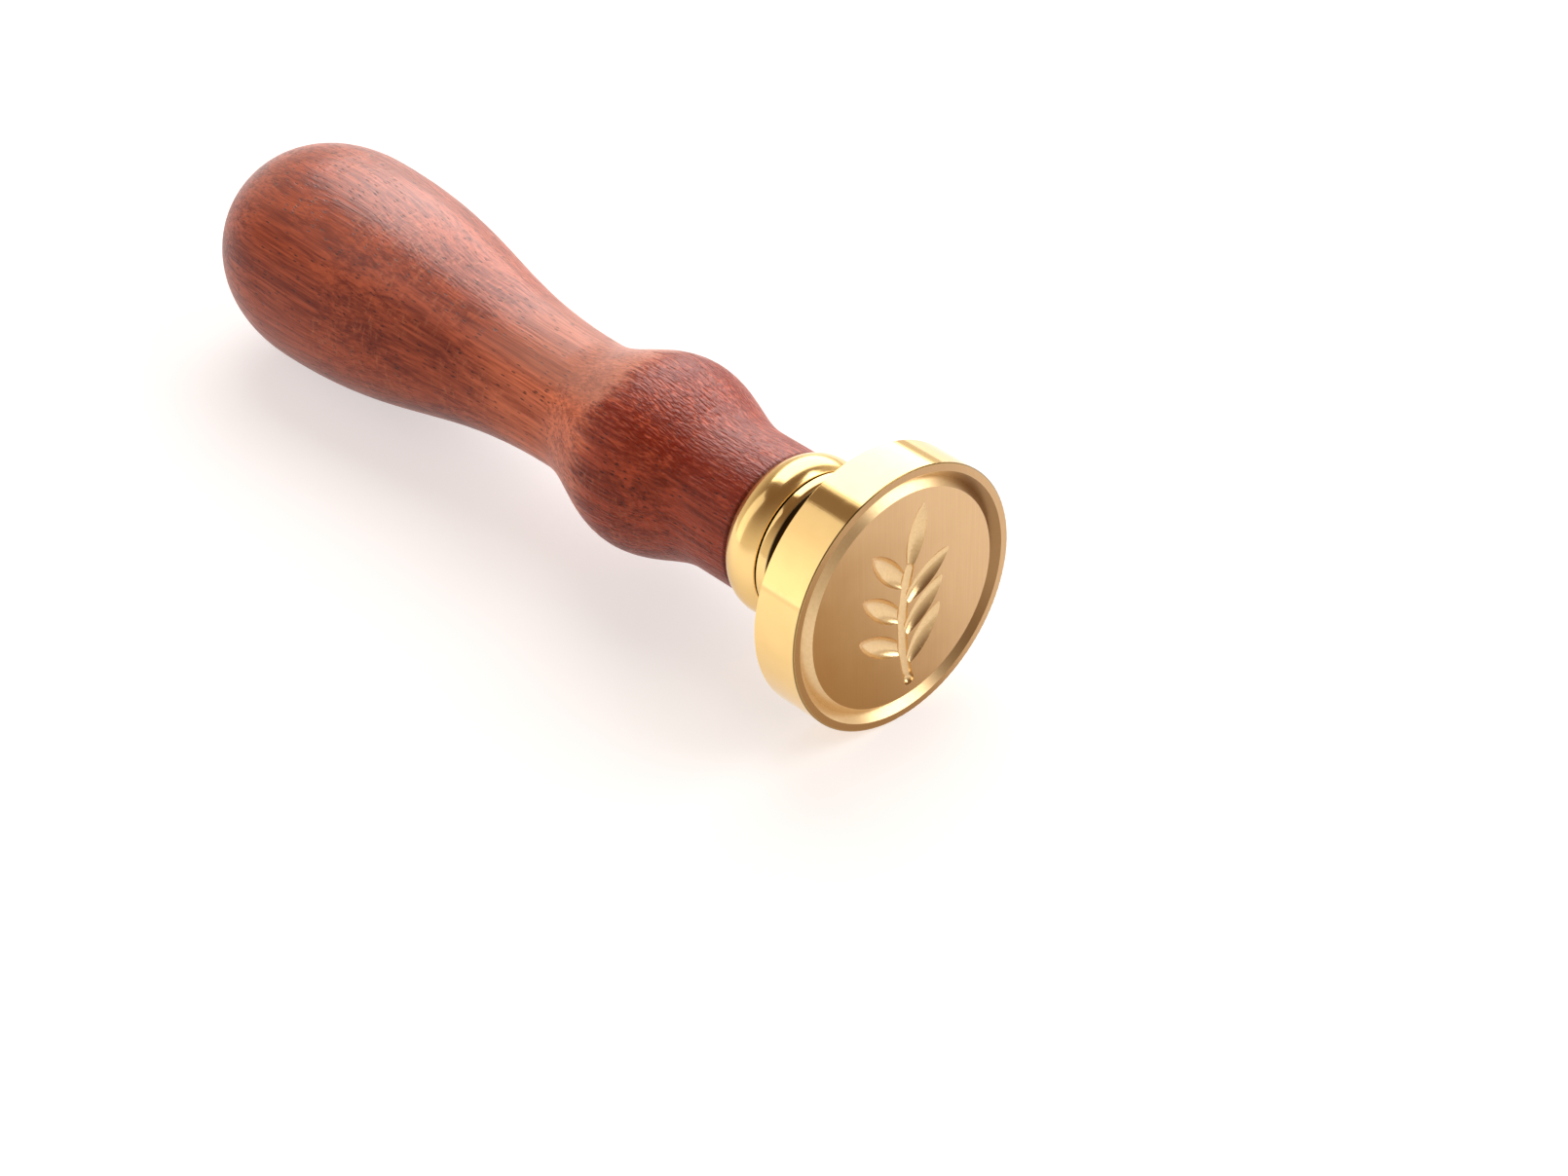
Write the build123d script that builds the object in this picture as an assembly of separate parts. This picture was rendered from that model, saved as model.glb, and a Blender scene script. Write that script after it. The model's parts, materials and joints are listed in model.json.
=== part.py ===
from build123d import *

import os
from math import asin, atan2, cos, degrees, radians, sin, sqrt, tan

# A wax seal stamp lying on a table: a turned wooden handle with a steel stud bonded into it, a brass
# bead collar that slips over the stud, and an engraved brass head that screws onto the stud.
#
# Every piece is turned about the X axis with the seal face at x = 0 and the handle towards -X, and a
# "depth" is a distance behind the seal face. The whole stamp is then laid down so that the disc's back
# edge and the handle's bulb rest on the table at z = 0. All sizes are in millimetres and degrees.

# Steel stud: a right-hand machine thread in front, a ring-grooved shank bonded in the wood behind
thread_diameter = 7.0
thread_pitch = 1.0
thread_clearance = 0.15
thread_run_in_wood = 1.0
stud_point_length = 1.0
stud_point_chamfer = 0.3
stud_point_relief = 0.12
stud_point_gap = 0.6
shank_length = 20.0
shank_clearance = 0.05
shank_groove_width = 1.0
shank_groove_depth = 0.4
shank_groove_count = 5

# Brass head: an engraved disc with a necked stem that is tapped for the stud. The tapped hole is drawn
# plain, just clear of the crests of the stud's thread
head_diameter = 25.0
disc_thickness = 4.9
disc_rim_round = 0.12
disc_back_chamfer = 0.15
neck_length = 6.02
neck_wall = 1.45
neck_cove_radius = 1.2
neck_lip_radius = 1.8
seam_width = 0.16
seam_depth = 0.6
face_wall = 2.4
tap_mouth_depth = 0.5
tap_mouth_clearance = 0.4

# Ring groove and sprig engraved in the seal face
rim_width = 0.75
ring_groove_width = 1.4
ring_groove_depth = 0.7
stem_width = 1.1
stem_depth = 0.5
stem_bend_radius = 22.0
stem_margin = 1.5
leaf_length = 6.2
leaf_width = 2.1
leaf_depth = 0.75
leaf_angle = 50.0
leaf_pairs = 3

# Brass bead collar, held between the neck's lip and the handle
collar_width = 3.7
collar_crown_height = 0.7
collar_edge_round = 0.2
collar_clearance = 0.1
stack_gap = 0.03

# Turned wooden handle, as spans along its axis from the front end to the tip of the dome
handle_front_round = 0.4
handle_land_length = 5.5
bulge_rise_length = 10.1
bulge_diameter = 18.7
waist_fall_length = 10.9
waist_diameter = 12.85
bulb_rise_length = 36.1
bulb_diameter = 21.75
dome_length = 13.1
bulge_fullness = 0.36
bulb_fullness = 0.45
dome_fullness = 0.6
bore_mouth_chamfer = 0.5
glue_room = 1.5
drill_point_angle = 120.0

# The neck's lip, the collar's edges and the handle's front end share one diameter
neck_diameter = thread_diameter + 2 * (thread_clearance + neck_wall)
joint_diameter = neck_diameter + 2 * neck_lip_radius

# Stations along the axis, as depths behind the seal face
neck_end = disc_thickness + neck_length
collar_front = neck_end + stack_gap
collar_back = collar_front + collar_width
handle_front = collar_back + stack_gap
land_end = handle_front + handle_land_length
bulge_depth = land_end + bulge_rise_length
waist_depth = bulge_depth + waist_fall_length
bulb_depth = waist_depth + bulb_rise_length
handle_end = bulb_depth + dome_length

# Thread form: 60 degree flanks with a flat crest and root
thread_radius = thread_diameter / 2
thread_height = 17 / 24 * sqrt(3) / 2 * thread_pitch
thread_crest_share = 1 / 8
thread_root_share = 1 / 4
thread_flank_steps = 6

# Ends of the stud and of the holes that take it
tap_bottom = face_wall
tap_top = neck_end - tap_mouth_depth
stud_tip = tap_bottom + stud_point_gap
thread_front = stud_tip + stud_point_length
thread_back = handle_front + thread_run_in_wood
shank_back = thread_back + shank_length
wood_bore_radius = thread_radius + shank_clearance
wood_bore_bottom = shank_back + glue_room

# How far the head unscrews while one whole turn of thread still holds it
unscrew_travel = tap_top - thread_front - thread_pitch

# Angle that the axis rises towards the seal face when the stamp lies on its disc and its bulb
lean = degrees(atan2(head_diameter / 2 - bulb_diameter / 2, bulb_depth - disc_thickness))


def at(depth, radius):
    """A point of a turned outline."""
    return (-depth, radius)


def turned(*outline):
    """The solid made by turning a closed outline about the axis."""
    return revolve(make_face(outline), Axis.X)


def rod(front, back, radius):
    """A plain round bar, or the drill for a plain hole, between two depths."""
    corners = [at(front, 0), at(front, radius), at(back, radius), at(back, 0)]
    return turned(Polyline(*corners, close=True))


def quarter_round(start, end, centre):
    """A quarter circle of a turned outline, convex or hollow, about its centre."""
    middle = [c + (s + e - 2 * c) / sqrt(2) for s, e, c in zip(start, end, centre)]
    return ThreePointArc(at(*start), at(*middle), at(*end))


def flow(start, end, fullness):
    """A smooth stretch between two stations, level with the axis at both ends."""
    reach = (end[0] - start[0]) * fullness
    return Bezier(at(*start), at(start[0] + reach, start[1]), at(end[0] - reach, end[1]), at(*end))


def thread_section():
    """Cross-section of the thread."""
    crest = thread_radius
    root = crest - thread_height
    crest_half = 180 * thread_crest_share
    root_start = 180 - 180 * thread_root_share

    def point(radius, angle):
        return (radius * cos(radians(angle)), radius * sin(radians(angle)))

    def flank(side):
        shares = [step / thread_flank_steps for step in range(thread_flank_steps + 1)]
        angles = [crest_half + (root_start - crest_half) * share for share in shares]
        radii = [crest - thread_height * share for share in shares]
        return Spline(*[point(radius, side * angle) for radius, angle in zip(radii, angles)])

    crest_arc = ThreePointArc(point(crest, -crest_half), point(crest, 0), point(crest, crest_half))
    root_arc = ThreePointArc(point(root, root_start), point(root, 180), point(root, -root_start))
    return make_face([crest_arc, flank(1), root_arc, flank(-1)])


def thread(front, back):
    """A right-hand threaded bar between two depths."""
    length = back - front
    twist = 360 * length / thread_pitch
    section = thread_section().face()
    bar = Solid.extrude_linear_with_rotation(section, (0, 0, 0), (0, 0, length), twist)
    return Pos(X=-back) * Rot(Y=90) * bar


def cut_radius(width, depth):
    """Radius of the round-nosed cut that leaves a groove of this width and depth."""
    return (width ** 2 / 4 + depth ** 2) / (2 * depth)


def leaf_cutter():
    """A pointed oval hollow in z = 0, running along +X from the origin, widest half way."""
    side_radius = cut_radius(leaf_length, leaf_depth)
    middle_radius = cut_radius(leaf_width, leaf_depth)
    half_chord = sqrt(side_radius ** 2 - (side_radius - middle_radius) ** 2)
    bow = ThreePointArc((-half_chord, 0), (0, middle_radius), (half_chord, 0))
    chord = Line((half_chord, 0), (-half_chord, 0))
    spindle = revolve(make_face([bow, chord]), Axis.X)
    return Pos(leaf_length / 2, 0, middle_radius - leaf_depth) * spindle


def sprig_cutters():
    """A bent stem, a leaf at its tip and leaves on alternate sides, engraved in z = 0 with +Y up."""
    field_radius = head_diameter / 2 - rim_width - ring_groove_width
    stem_low = stem_margin - field_radius
    stem_high = field_radius - stem_margin - leaf_length
    stem_middle = (stem_low + stem_high) / 2
    half_turn = degrees(asin((stem_high - stem_low) / 2 / stem_bend_radius))
    nose = cut_radius(stem_width, stem_depth)
    nose_height = nose - stem_depth

    def stem_heading(share):
        return 90 + half_turn - 2 * half_turn * share

    def stem_point(share):
        angle = radians(stem_heading(share) + 90)
        return (stem_bend_radius * (1 + cos(angle)), stem_middle + stem_bend_radius * sin(angle))

    def leaf(share, angle):
        return Pos(*stem_point(share)) * Rot(Z=stem_heading(share) + angle) * leaf_cutter()

    path = Pos(Z=nose_height) * ThreePointArc(stem_point(0), stem_point(0.5), stem_point(1))
    cutters = [sweep(Plane(path @ 0, z_dir=path % 0) * Circle(nose), path)]
    cutters += [Pos(*stem_point(share), nose_height) * Sphere(nose) for share in (0, 1)]
    cutters.append(leaf(1, 0))
    leaf_count = 2 * leaf_pairs
    for number in range(leaf_count):
        side = 1 if number % 2 else -1
        cutters.append(leaf((number + 1) / (leaf_count + 1), side * leaf_angle))
    return cutters


def make_handle():
    front_radius = joint_diameter / 2
    shoulder = front_radius - handle_front_round
    shoulder_depth = handle_front + handle_front_round
    bulge = (bulge_depth, bulge_diameter / 2)
    waist = (waist_depth, waist_diameter / 2)
    bulb = (bulb_depth, bulb_diameter / 2)
    dome_side = (bulb_depth + dome_length * dome_fullness, bulb_diameter / 2)
    dome_crown = (handle_end, bulb_diameter / 2 * dome_fullness)
    blank = turned(
        Line(at(handle_front, 0), at(handle_front, shoulder)),
        quarter_round((handle_front, shoulder), (shoulder_depth, front_radius), (shoulder_depth, shoulder)),
        Line(at(shoulder_depth, front_radius), at(land_end, front_radius)),
        flow((land_end, front_radius), bulge, bulge_fullness),
        flow(bulge, waist, bulge_fullness),
        flow(waist, bulb, bulb_fullness),
        Bezier(at(*bulb), at(*dome_side), at(*dome_crown), at(handle_end, 0)),
        Line(at(handle_end, 0), at(handle_front, 0)),
    )
    drill_point = wood_bore_radius / tan(radians(drill_point_angle / 2))
    drill = turned(Polyline(
        at(handle_front, 0),
        at(handle_front, wood_bore_radius + bore_mouth_chamfer),
        at(handle_front + bore_mouth_chamfer, wood_bore_radius),
        at(wood_bore_bottom, wood_bore_radius),
        at(wood_bore_bottom + drill_point, 0),
        close=True,
    ))
    return blank - drill


def make_stud():
    point_radius = thread_radius - thread_height - stud_point_relief
    point = turned(Polyline(
        at(stud_tip, 0),
        at(stud_tip, point_radius - stud_point_chamfer),
        at(stud_tip + stud_point_chamfer, point_radius),
        at(thread_front, point_radius),
        at(thread_front, 0),
        close=True,
    ))
    shank = rod(thread_back, shank_back, thread_radius)
    for number in range(shank_groove_count):
        middle = thread_back + shank_length * (number + 1) / (shank_groove_count + 1)
        groove_front = middle - shank_groove_width / 2
        groove_back = middle + shank_groove_width / 2
        core = rod(groove_front, groove_back, thread_radius - shank_groove_depth)
        shank -= rod(groove_front, groove_back, thread_radius) - core
    return point + thread(thread_front, thread_back) + shank


def make_collar():
    edge = joint_diameter / 2
    middle = (collar_front + collar_back) / 2
    bore = thread_radius + collar_clearance
    ring = turned(
        Line(at(collar_front, bore), at(collar_front, edge)),
        ThreePointArc(at(collar_front, edge), at(middle, edge + collar_crown_height), at(collar_back, edge)),
        Line(at(collar_back, edge), at(collar_back, bore)),
        Line(at(collar_back, bore), at(collar_front, bore)),
    )
    rims = ring.edges().filter_by(GeomType.CIRCLE).sort_by(SortBy.RADIUS)[-2:]
    return fillet(rims, collar_edge_round)


def make_head():
    outer = head_diameter / 2
    rim = outer - disc_rim_round
    groove_outer = outer - rim_width
    groove_inner = groove_outer - ring_groove_width
    groove_middle = (groove_outer + groove_inner) / 2
    back_edge = disc_thickness - disc_back_chamfer
    neck = neck_diameter / 2
    cove_outer = neck + neck_cove_radius
    cove_end = disc_thickness + neck_cove_radius
    lip = joint_diameter / 2
    lip_end = neck_end - seam_width
    lip_start = lip_end - neck_lip_radius
    seam_floor = lip - seam_depth
    tap_radius = thread_radius + thread_clearance
    head = turned(
        Polyline(
            at(0, 0),
            at(0, groove_inner),
            at(ring_groove_depth, groove_middle),
            at(0, groove_outer),
            at(0, rim),
        ),
        quarter_round((0, rim), (disc_rim_round, outer), (disc_rim_round, rim)),
        Polyline(
            at(disc_rim_round, outer),
            at(back_edge, outer),
            at(disc_thickness, outer - disc_back_chamfer),
            at(disc_thickness, cove_outer),
        ),
        quarter_round((disc_thickness, cove_outer), (cove_end, neck), (cove_end, cove_outer)),
        Line(at(cove_end, neck), at(lip_start, neck)),
        quarter_round((lip_start, neck), (lip_end, lip), (lip_end, neck)),
        Polyline(
            at(lip_end, lip),
            at(lip_end, seam_floor),
            at(neck_end, seam_floor),
            at(neck_end, 0),
            at(0, 0),
        ),
    )
    head -= rod(tap_bottom, tap_top, tap_radius)
    head -= rod(tap_top, neck_end, tap_radius + tap_mouth_clearance)
    seal_face = Plane((0, 0, 0), x_dir=(0, 1, 0), z_dir=(1, 0, 0))
    for cutter in sprig_cutters():
        head -= seal_face.location * cutter
    return head


pieces = {
    "handle": make_handle(),
    "threaded_stud": make_stud(),
    "collar": make_collar(),
    "seal_head": make_head(),
}

# Lay the stamp down, with the middle of its footprint at the origin
tilt = Rot(Y=-lean)
footprint = Compound([tilt * piece for piece in pieces.values()]).bounding_box()
lay_down = Pos(-footprint.center().X, -footprint.center().Y, -footprint.min.Z) * tilt

os.makedirs("parts", exist_ok=True)
for name, piece in pieces.items():
    export_step(lay_down * piece, f"parts/{name}.step")

print("overall length", round(handle_end, 2), "lean", round(lean, 3), "unscrews by", round(unscrew_travel, 2))
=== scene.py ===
"""Wax seal stamp lying on a white table: materials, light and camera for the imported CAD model."""

import json
from types import SimpleNamespace

import bpy
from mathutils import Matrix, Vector


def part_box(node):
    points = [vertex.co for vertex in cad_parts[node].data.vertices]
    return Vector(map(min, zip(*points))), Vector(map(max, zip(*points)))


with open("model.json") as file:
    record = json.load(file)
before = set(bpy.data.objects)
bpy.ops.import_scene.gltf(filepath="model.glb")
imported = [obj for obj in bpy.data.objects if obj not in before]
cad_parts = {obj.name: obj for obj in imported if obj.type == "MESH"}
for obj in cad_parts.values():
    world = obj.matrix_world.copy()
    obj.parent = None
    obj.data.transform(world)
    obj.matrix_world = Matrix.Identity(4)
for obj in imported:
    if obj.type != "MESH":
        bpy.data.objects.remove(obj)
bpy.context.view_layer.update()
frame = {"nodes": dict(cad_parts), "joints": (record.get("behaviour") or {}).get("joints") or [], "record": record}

MM = 0.001

# Camera, in millimetres: where it stands, what it looks at, its sensor's width and its lens
CAMERA_PLACE = (216.2, -171.0, 194.4)
CAMERA_AIM = (36.57, -5.75, 12.0)
CAMERA_SENSOR = 36.0
CAMERA_LENS = 82.73

# Table: its side in millimetres, its own grey, and the warm white that is added where it is seen
TABLE_SIDE = 6000.0
TABLE_GREY = 0.5
TABLE_GLOW = (0.615, 0.575, 0.57)

# Even light from all round the room, a little warm
ROOM_LIGHT = 0.37
ROOM_COLOUR = (1.0, 0.86, 0.68)

# What is seen or mirrored of the room: pale walls that turn into a dark ceiling over this rise
WALL_COLOUR = (0.84, 0.74, 0.64)
CEILING_COLOUR = (0.21, 0.13, 0.08)
CEILING_RISE = (0.0, 0.95)

# Watts per square metre of a lamp that a mirror shows as 1
LAMP_WATTS = 4.0

# Facets of the seal head: depth behind its face, distance from its axis and lean towards the axis
FACE_SKIN = 0.01
FACE_LEAN = 0.99
CUT_DEPTH = 1.2
CUT_RADIUS = 11.8
CUT_LEAN = -0.05

# Looks of the brass: where each begins and where it is full, behind the face or out from the axis
# A dark reflection is painted brown on the rim's rounded edge
RIM_DEPTH = (0.14, 0.09)
RIM_RADIUS = (12.36, 12.41)
# Shade is painted black in the recess behind the disc and in the seam
RECESS_DEPTH = (4.9, 5.1)
RECESS_RADIUS = (6.72, 6.62)
SEAM_FRONT = (10.72, 10.76)
SEAM_BACK = (10.95, 10.93)
# Shade is painted brown on the right of the ring
RING_RADIUS = (9.9, 10.2)
MARGIN_RADIUS = (11.7, 11.8)

# Looks of the handle: where each begins and where it is full, on x, the last one behind its front
BULB_FRONT = (-24.0, -12.0)
WAIST = (-9.0, 3.0)
SLOPE_START = (-6.0, 2.0)
SLOPE_END = (16.0, 10.0)
BULGE = (14.0, 18.0)
# Over this last stretch shade is painted, along with a dark stain, where the wood meets the collar
DARK_END = (0.9, 0.1)

# How far the grain wanders sideways and up, and how far the red of the bulge runs along it
GRAIN_BEND = (3.5, -3.0)
BULGE_FRINGE = 6.0


class Value:
    """One output socket of a shader; Python arithmetic on it adds Math nodes."""

    def __init__(self, shader, socket):
        self.shader = shader
        self.socket = socket

    def __add__(self, other):
        return self.shader.math("ADD", self, other)

    def __radd__(self, other):
        return self.shader.math("ADD", other, self)

    def __sub__(self, other):
        return self.shader.math("SUBTRACT", self, other)

    def __rsub__(self, other):
        return self.shader.math("SUBTRACT", other, self)

    def __mul__(self, other):
        return self.shader.math("MULTIPLY", self, other)

    def __rmul__(self, other):
        return self.shader.math("MULTIPLY", other, self)

    def __truediv__(self, other):
        return self.shader.math("DIVIDE", self, other)

    def __rtruediv__(self, other):
        return self.shader.math("DIVIDE", other, self)

    def __pow__(self, other):
        return self.shader.math("POWER", self, other)

    def __neg__(self):
        return self.shader.math("MULTIPLY", self, -1.0)


class Shader:
    """The nodes of one material, world or lamp."""

    def __init__(self, owner):
        owner.use_nodes = True
        self.owner = owner
        self.tree = owner.node_tree
        self.tree.nodes.clear()

    def node(self, kind, settings, sockets, out=0):
        """Adds a node: settings are set first, then sockets, by name or number, to a value or a link."""
        made = self.tree.nodes.new(kind)
        for name, value in settings.items():
            setattr(made, name, value)
        for key, value in sockets.items():
            if isinstance(value, Value):
                self.tree.links.new(value.socket, made.inputs[key])
            else:
                made.inputs[key].default_value = value
        return Value(self, made.outputs[out])

    def finish(self, kind, surface):
        """Links the surface to an output node and gives the material, world or lamp back."""
        made = self.tree.nodes.new(kind)
        self.tree.links.new(surface.socket, made.inputs["Surface"])
        return self.owner

    def math(self, operation, first, second):
        return self.node("ShaderNodeMath", {"operation": operation}, {0: first, 1: second})

    def place(self):
        """Position on the piece in millimetres."""
        metres = self.node("ShaderNodeTexCoord", {}, {}, "Object")
        return self.node("ShaderNodeVectorMath", {"operation": "SCALE"}, {0: metres, "Scale": 1 / MM})

    def seen(self):
        """1 for what the camera sees, straight, mirrored or through glass."""
        rays = ("Is Camera Ray", "Is Glossy Ray", "Is Transmission Ray")
        straight, mirrored, through = [self.node("ShaderNodeLightPath", {}, {}, ray) for ray in rays]
        return straight + mirrored + through

    def split(self, vector):
        return [self.node("ShaderNodeSeparateXYZ", {}, {0: vector}, axis) for axis in "XYZ"]

    def in_cells(self, place, cell):
        """A place in millimetres, counted in cells of these millimetres along x, y and z."""
        scale = tuple(1 / size for size in cell)
        return self.node("ShaderNodeVectorMath", {"operation": "MULTIPLY"}, {0: place, 1: scale})

    def noise(self, place, cell, detail=2.0, roughness=0.5):
        """Noise from 0 to 1 with cells of this size."""
        where = self.in_cells(place, cell)
        sockets = {"Vector": where, "Scale": 1.0, "Detail": detail, "Roughness": roughness}
        return self.node("ShaderNodeTexNoise", {}, sockets)

    def specks(self, place, cell):
        """Distance to the middle of the nearest scattered cell, and a random number of that cell."""
        sockets = {"Vector": self.in_cells(place, cell), "Scale": 1.0}
        distance = self.node("ShaderNodeTexVoronoi", {}, sockets, "Distance")
        chance = Value(self, distance.socket.node.outputs["Color"])
        return distance, self.split(chance)[0]

    def step(self, value, low, high):
        """0 below low, 1 above high, and smooth between; the other way round if low is above high."""
        sockets = {"Value": value, "From Min": low, "From Max": high}
        return self.node("ShaderNodeMapRange", {"interpolation_type": "SMOOTHSTEP"}, sockets, "Result")

    def mix(self, share, first, second):
        """Colour between two colours."""
        return self.node("ShaderNodeMix", {"data_type": "RGBA"}, {0: share, 6: first, 7: second}, 2)

    def bump(self, height, depth):
        """Normal from a height of 0 to 1 over the given depth in millimetres."""
        sockets = {"Strength": 1.0, "Distance": depth * MM, "Height": height}
        return self.node("ShaderNodeBump", {}, sockets)


def colour(red, green, blue):
    return (red, green, blue, 1.0)


def new_shader(name):
    return Shader(bpy.data.materials.new(name))


def about_axis(shader, place, axis, centre):
    """Millimetres along the axis from a point on it, sideways, above the axis and out from it."""
    x, sideways, z = shader.split(place)
    along = (x - centre.x) * axis.x + (z - centre.z) * axis.z
    height = (z - centre.z) * axis.x - (x - centre.x) * axis.z
    radius = (sideways * sideways + height * height) ** 0.5
    return along, sideways, height, radius


def wood_marks(shader, front, axis, centre):
    """Stretches of the handle, its upper side and the patterns in the wood, each full at 1.

    What runs with the grain is drawn out along the handle and bent a little.
    """
    place = shader.place()
    along, across, up = shader.split(place)
    _, _, height, radius = about_axis(shader, place, axis, centre)
    bend = shader.noise(place, (22, 9, 9))
    bent = {0: along, 1: across + bend * GRAIN_BEND[0], 2: up + bend * GRAIN_BEND[1]}
    grain = shader.node("ShaderNodeCombineXYZ", {}, bent)
    streak = shader.noise(grain, (22, 0.8, 0.8), detail=3.0, roughness=0.55)
    distance, chance = shader.specks(grain, (1.1, 0.22, 0.22))
    return SimpleNamespace(
        past_bulb=shader.step(along, *BULB_FRONT),
        waist=shader.step(along, *WAIST),
        slope=shader.step(along, *SLOPE_START) * shader.step(along, *SLOPE_END),
        bulge=shader.step(along + streak * BULGE_FRINGE, *BULGE),
        # The last stretch before the wood's front, where shade and a dark stain are painted
        end=shader.step(front - along, *DARK_END),
        upward=height / radius,
        band=shader.noise(grain, (40, 3, 3)),
        streak=streak,
        fibre=shader.noise(grain, (6.5, 0.24, 0.24), roughness=0.6),
        grit=shader.noise(grain, (0.9, 0.24, 0.24), detail=1.0),
        pore=shader.step(distance, 0.36, 0.16) * shader.step(chance, 0.7, 0.76),
        ripple=shader.noise(place, (0.5, 1.1, 1.1), roughness=0.6),
        patch=shader.noise(place, (11, 6, 6), detail=1.0),
    )


def wood_tone(shader, marks):
    """Brown on the bulb, orange on the waist and deep red on the bulge next to the head, with a painted sheen on
    top of the waist, and painted shade on the upper bulge and at the wood's front.
    """
    bulb_wood = colour(0.55, 0.11, 0.046)
    waist_wood = colour(0.95, 0.26, 0.13)
    bulge_wood = colour(0.58, 0.1, 0.046)
    dark_grain = colour(0.21, 0.029, 0.013)
    waist_grain = colour(0.44, 0.088, 0.04)
    fleck_orange = colour(0.78, 0.26, 0.13)
    pore_black = colour(0.045, 0.008, 0.005)
    waist_sheen_grey = colour(0.4, 0.22, 0.18)
    bulge_shade_red = colour(0.24, 0.02, 0.005)
    end_shade_black = colour(0.05, 0.012, 0.008)

    waist_alone = marks.waist * (1 - marks.bulge)
    light = shader.mix(marks.waist, bulb_wood, waist_wood)
    light = shader.mix(marks.bulge, light, bulge_wood)
    dark = shader.mix(waist_alone, dark_grain, waist_grain)
    shade = marks.band * 0.24 + marks.streak * 0.34 + marks.fibre * 0.42
    tone = shader.mix(shader.step(shade, 0.36, 0.64), light, dark)

    fleck = shader.step(marks.ripple, 0.5, 0.75) * shader.step(marks.patch, 0.42, 0.6)
    tone = shader.mix(fleck * 0.3, tone, fleck_orange)
    tone = shader.mix(marks.pore * 0.85, tone, pore_black)

    # A sheen is painted on the top of the waist, as a greyer tone
    waist_sheen = waist_alone * shader.step(marks.upward, 0.6, 0.85)
    tone = shader.mix(waist_sheen * 0.5, tone, waist_sheen_grey)
    # Shade is painted deep red on the upper side of the bulge, broken up along the grit and fibres of the grain
    bulge_shade = marks.bulge * shader.step(marks.upward, 0.3, 0.8)
    bulge_shade = bulge_shade * shader.step(marks.grit * 0.6 + marks.fibre * 0.4, 0.36, 0.6)
    tone = shader.mix(bulge_shade, tone, bulge_shade_red)
    # Painted shade, with a dark stain, on the wood's last millimetre before the collar
    return shader.mix(marks.end * 0.7, tone, end_shade_black)


def wood_gloss(shader, marks):
    """Share of polish: on the upper side, and less of it past the bulb, on the slope and on the bulge."""
    top = shader.step(marks.upward, marks.bulge * 0.24 + 0.56, marks.bulge * 0.03 + 0.96)
    return top * (0.92 - marks.past_bulb * 0.3 - marks.slope * 0.36) * (1 - marks.bulge * 0.25)


def wood(front, axis, centre):
    """Reddish brown rosewood, oiled, and polished on top; front is where the wood ends on x."""
    shader = new_shader("rosewood")
    marks = wood_marks(shader, front, axis, centre)
    relief = marks.fibre * 0.5 + marks.ripple * 0.3 + marks.streak * 0.3 - marks.pore * 0.3
    relief = relief * (1 + marks.bulge * 1.2) + marks.grit * marks.bulge * 1.8
    sockets = {
        "Base Color": wood_tone(shader, marks),
        "Roughness": 0.26 + marks.fibre * 0.16,
        "Normal": shader.bump(relief, 0.08),
    }
    oil = {"Specular IOR Level": 0.18}
    polish = {"Specular IOR Level": 1.0, "IOR": 1.6}
    oiled = shader.node("ShaderNodeBsdfPrincipled", {}, {**sockets, **oil})
    polished = shader.node("ShaderNodeBsdfPrincipled", {}, {**sockets, **polish})
    gloss = wood_gloss(shader, marks)
    surface = shader.node("ShaderNodeMixShader", {}, {0: gloss, 1: oiled, 2: polished})
    return shader.finish("ShaderNodeOutputMaterial", surface)


def bare_metal(shader, sockets):
    """Metal with these sockets of its surface set or linked."""
    surface = shader.node("ShaderNodeBsdfPrincipled", {}, {"Metallic": 1.0, **sockets})
    return shader.finish("ShaderNodeOutputMaterial", surface)


def polished_brass(name, axis, face, polish):
    """Turned and buffed yellow brass, with shade painted black in the recess and the seam behind the disc, and a
    dark reflection painted brown on the rounded edge of the rim.

    polish is its least roughness.
    """
    bright = colour(0.96, 0.69, 0.3)
    smudged = colour(0.9, 0.62, 0.25)
    rim_reflection_brown = colour(0.12, 0.06, 0.018)
    recess_shade_black = colour(0.03, 0.018, 0.008)

    shader = new_shader(name)
    place = shader.place()
    along, _, _, radius = about_axis(shader, place, axis, face)
    depth = -along
    # A dark reflection painted brown on the rounded edge of the rim
    rim = shader.step(depth, *RIM_DEPTH) * shader.step(radius, *RIM_RADIUS)
    # Shade painted black in the recess behind the disc and in the seam
    recess = shader.step(depth, *RECESS_DEPTH) * shader.step(radius, *RECESS_RADIUS)
    seam = shader.step(depth, *SEAM_FRONT) * shader.step(depth, *SEAM_BACK)
    black = 1 - (1 - recess) * (1 - seam)
    buffed = shader.noise(place, (7, 0.5, 0.5), detail=3.0)
    turned = shader.noise(place, (0.12, 30, 30))
    smudge = shader.noise(place, (2.5, 2.5, 2.5), detail=4.0, roughness=0.6)
    tone = shader.mix(smudge, bright, smudged)
    tone = shader.mix(rim * 0.8, tone, rim_reflection_brown)
    sockets = {
        "Base Color": shader.mix(black, tone, recess_shade_black),
        "Roughness": polish + shader.step(smudge, 0.45, 0.75) * 0.08 + turned * 0.03 + black * 0.4,
        "Normal": shader.bump(buffed * 0.7 + turned * 0.3, 0.006),
    }
    return bare_metal(shader, sockets)


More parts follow.
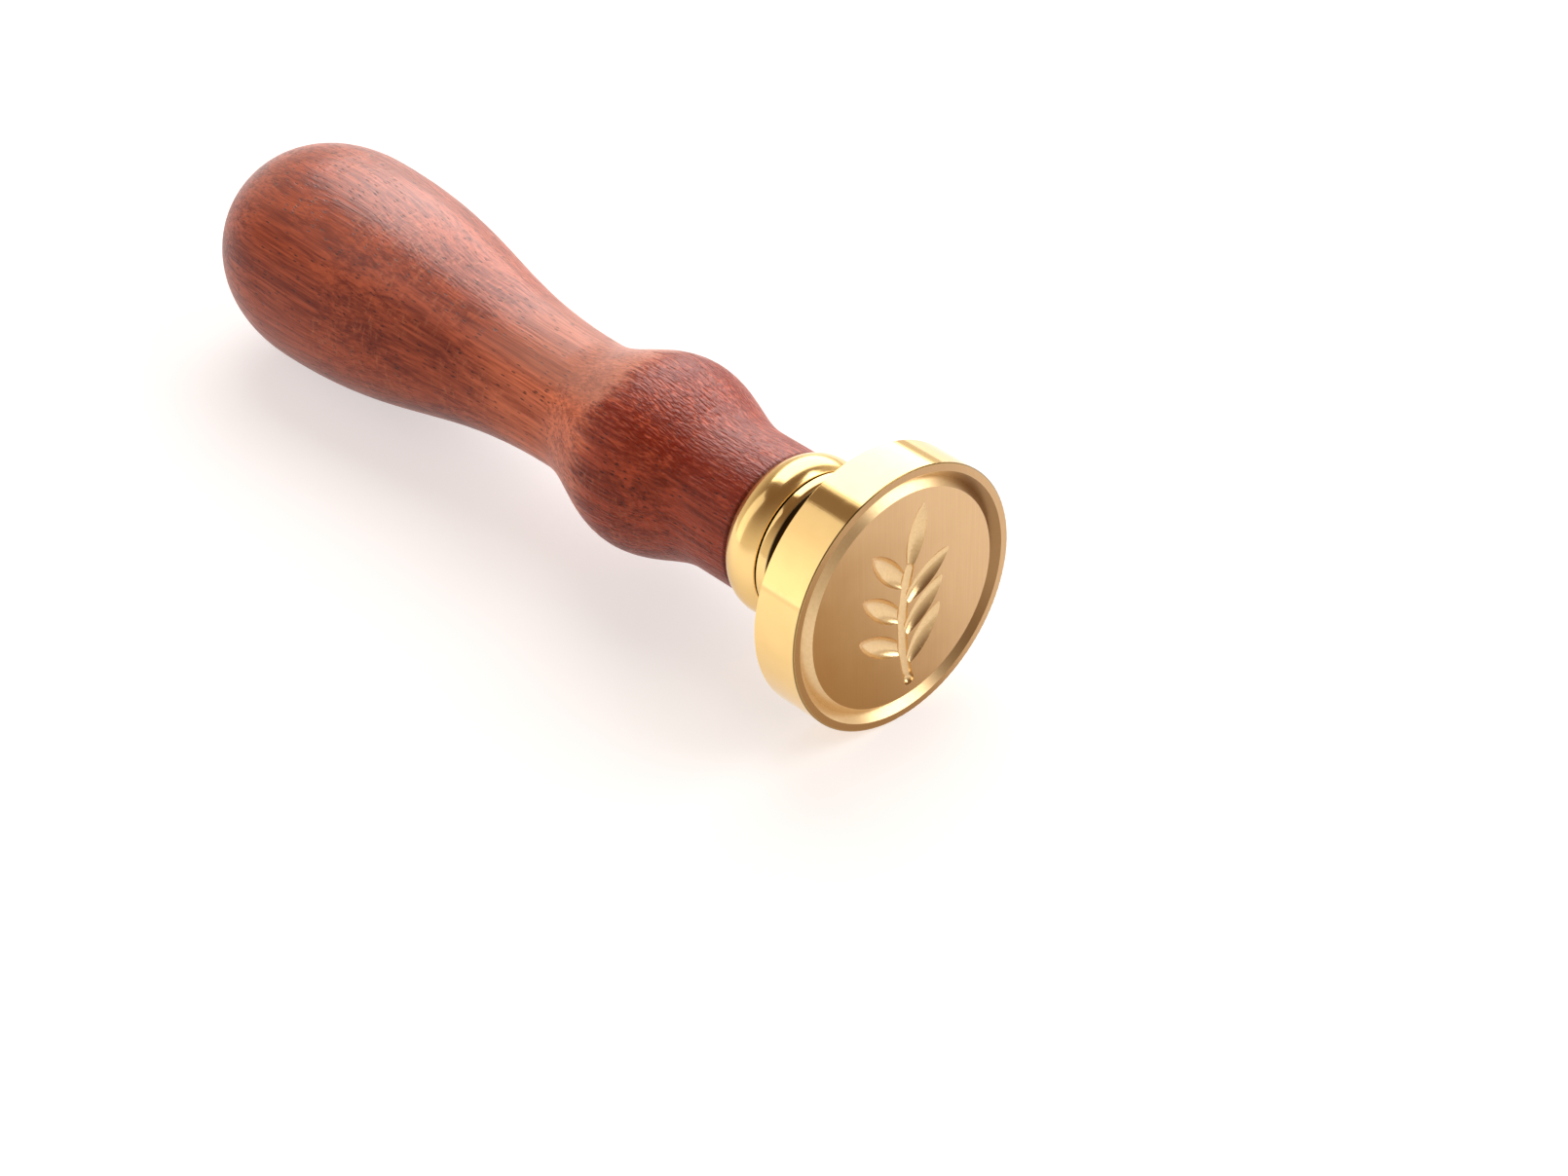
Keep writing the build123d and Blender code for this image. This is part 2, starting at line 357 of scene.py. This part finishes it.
def milled_brass(axis, face):
    """The seal's face as the cutter left it: matte and finely streaked, with a painted reflection that darkens it
    to the low left.
    """
    reflected_shade_tone = colour(0.35, 0.175, 0.047)
    reflected_light_tone = colour(0.72, 0.495, 0.275)
    streak_brown = colour(0.34, 0.18, 0.055)
    margin_brown = colour(0.36, 0.2, 0.08)

    shader = new_shader("milled brass")
    place = shader.place()
    _, sideways, height, radius = about_axis(shader, place, axis, face)
    streak = shader.noise(place, (4, 0.12, 7), detail=3.0)
    cloud = shader.noise(place, (5, 5, 5))
    # Painted reflection: a dark tone at the low left turns, in soft patches, into a light tone at the upper right
    face_reflection_share = shader.step(sideways * 0.75 + height * 0.5 + cloud * 4.0, -8.0, 11.0)
    margin = shader.step(radius, *MARGIN_RADIUS) * (0.5 + shader.step(sideways, 10.0, 4.0) * 0.5)
    tone = shader.mix(face_reflection_share, reflected_shade_tone, reflected_light_tone)
    tone = shader.mix(streak * 0.22, tone, streak_brown)
    sockets = {
        "Base Color": shader.mix(margin * 0.5, tone, margin_brown),
        "Roughness": 0.34 + streak * 0.14,
        "Normal": shader.bump(streak, 0.008),
    }
    return bare_metal(shader, sockets)


def cut_brass(axis, face):
    """Walls and floors of the engraved lines, bright from the cutter; the ring is rougher, with shade painted
    brown on its right.
    """
    bright = colour(0.8, 0.59, 0.33)
    rippled = colour(0.68, 0.48, 0.25)
    ring_brown = colour(0.28, 0.15, 0.06)

    shader = new_shader("cut brass")
    place = shader.place()
    _, sideways, _, radius = about_axis(shader, place, axis, face)
    ring = shader.step(radius, *RING_RADIUS)
    ripple = shader.noise(place, (0.25, 0.25, 0.25))
    tone = shader.mix(ripple, bright, rippled)
    sockets = {
        # Painted shade, brown, on the right of the ring
        "Base Color": shader.mix(ring * shader.step(sideways, 3.0, 9.0) * 0.9, tone, ring_brown),
        "Roughness": 0.17 + ripple * 0.1 + ring * 0.1,
        "Normal": shader.bump(ripple, 0.0015),
    }
    return bare_metal(shader, sockets)


def steel():
    """Bright zinc-plated steel."""
    bright = colour(0.62, 0.63, 0.64)
    clouded = colour(0.5, 0.51, 0.52)

    shader = new_shader("zinc-plated steel")
    cloud = shader.noise(shader.place(), (1.2, 1.2, 1.2), detail=3.0)
    tone = shader.mix(cloud, bright, clouded)
    return bare_metal(shader, {"Base Color": tone, "Roughness": 0.24 + cloud * 0.16})


def table_white():
    """White table; a glow is added where it is seen or mirrored, so that lit parts come out white."""
    shader = new_shader("white table")
    grey = colour(TABLE_GREY, TABLE_GREY, TABLE_GREY)
    diffuse = shader.node("ShaderNodeBsdfDiffuse", {}, {"Color": grey})
    glow = shader.mix(shader.seen(), colour(0, 0, 0), colour(*TABLE_GLOW))
    glow = shader.node("ShaderNodeEmission", {}, {"Color": glow, "Strength": 1.0})
    both = shader.node("ShaderNodeAddShader", {}, {0: diffuse, 1: glow})
    return shader.finish("ShaderNodeOutputMaterial", both)


def dress(node, *materials):
    """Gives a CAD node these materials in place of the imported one."""
    node.data.materials.clear()
    for material in materials:
        node.data.materials.append(material)


def dress_head(head, axis, face):
    """Polished brass all over, milled brass on the face, cut brass in the engraved lines."""
    turned = polished_brass("head brass", axis, face, polish=0.07)
    dress(head, turned, milled_brass(axis, face), cut_brass(axis, face))
    for polygon in head.data.polygons:
        offset = polygon.center / MM - face
        depth = -offset.dot(axis)
        radius = (offset + depth * axis).length
        lean = polygon.normal.dot(axis)
        if depth < FACE_SKIN and lean > FACE_LEAN:
            polygon.material_index = 1
        elif depth < CUT_DEPTH and radius < CUT_RADIUS and lean > CUT_LEAN:
            polygon.material_index = 2


def add_table():
    bpy.ops.mesh.primitive_plane_add(size=TABLE_SIDE * MM)
    table = bpy.context.object
    table.name = "table"
    table.data.materials.append(table_white())


def add_softbox(name, middle, toward, width, height, brightness, fade):
    """Rectangular light facing a point; brightness is what a mirror facing its middle would show.

    It fades out towards its edges, over this share of its width and height.
    """
    light = bpy.data.lights.new(name, "AREA")
    light.shape = "RECTANGLE"
    light.size = width * MM
    light.size_y = height * MM
    light.energy = brightness * LAMP_WATTS * light.size * light.size_y
    shader = Shader(light)
    across, up, _ = shader.split(shader.node("ShaderNodeNewGeometry", {}, {}, "Parametric"))
    glow = shader.step(across, 0.0, fade) * shader.step(across, 1.0, 1.0 - fade)
    glow = glow * shader.step(up, 0.0, fade) * shader.step(up, 1.0, 1.0 - fade)
    tint = shader.mix(glow, colour(0, 0, 0), colour(1, 1, 1))
    shine = shader.node("ShaderNodeEmission", {}, {"Color": tint, "Strength": 1.0})
    shader.finish("ShaderNodeOutputLight", shine)
    lamp = bpy.data.objects.new(name, light)
    bpy.context.scene.collection.objects.link(lamp)
    lamp.location = Vector(middle) * MM
    lamp.rotation_euler = (Vector(toward) - Vector(middle)).to_track_quat("-Z", "Y").to_euler()
    lamp.visible_camera = False


def add_world():
    """Dim even room light; the camera and mirrors see walls and a ceiling instead."""
    world = bpy.data.worlds.new("studio")
    bpy.context.scene.world = world
    shader = Shader(world)
    room = {"Color": colour(*ROOM_COLOUR), "Strength": ROOM_LIGHT}
    light = shader.node("ShaderNodeBackground", {}, room)
    walls = shader.node("ShaderNodeBackground", {}, {"Color": colour(*WALL_COLOUR)})
    ceiling = shader.node("ShaderNodeBackground", {}, {"Color": colour(*CEILING_COLOUR)})
    _, _, rise = shader.split(shader.node("ShaderNodeTexCoord", {}, {}, "Generated"))
    steep = shader.step(rise, *CEILING_RISE)
    view = shader.node("ShaderNodeMixShader", {}, {0: steep, 1: walls, 2: ceiling})
    both = shader.node("ShaderNodeMixShader", {}, {0: shader.seen(), 1: light, 2: view})
    shader.finish("ShaderNodeOutputWorld", both)


def add_camera():
    data = bpy.data.cameras.new("camera")
    data.sensor_width = CAMERA_SENSOR
    data.lens = CAMERA_LENS
    camera = bpy.data.objects.new("camera", data)
    bpy.context.scene.collection.objects.link(camera)
    camera.location = Vector(CAMERA_PLACE) * MM
    view = Vector(CAMERA_AIM) - Vector(CAMERA_PLACE)
    camera.rotation_euler = view.to_track_quat("-Z", "Y").to_euler()
    bpy.context.scene.camera = camera


nodes = frame["nodes"]
turn = next(joint for joint in frame["joints"] if joint["name"] == "head_turn")
axis = Vector(turn["axis"]).normalized()
pivot = Vector(turn["pos_m"]) / MM
seal = next(mount for mount in frame["record"]["mounts"] if mount["name"] == "seal_face")
face = pivot + axis * (Vector(seal["pos_m"]) / MM - pivot).dot(axis)

dress(nodes["handle"], wood(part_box("handle")[1].x / MM, axis, pivot))
dress(nodes["collar"], polished_brass("collar brass", axis, face, polish=0.14))
dress(nodes["threaded_stud"], steel())
dress_head(nodes["seal_head"], axis, face)

add_table()
add_world()
add_softbox(
    "key softbox",
    middle=(-290, 315, 390),
    toward=(-290, 0, 10),
    width=620,
    height=900,
    brightness=2.1,
    fade=0.12,
)
add_softbox(
    "front softbox",
    middle=(360, 330, 380),
    toward=(20, 0, 10),
    width=520,
    height=520,
    brightness=2.6,
    fade=0.15,
)
add_softbox(
    "white card",
    middle=(-60, -101, 85),
    toward=(11, 6, 20),
    width=84,
    height=180,
    brightness=0.54,
    fade=0.06,
)
add_camera()
bpy.context.scene.view_settings.view_transform = "Standard"
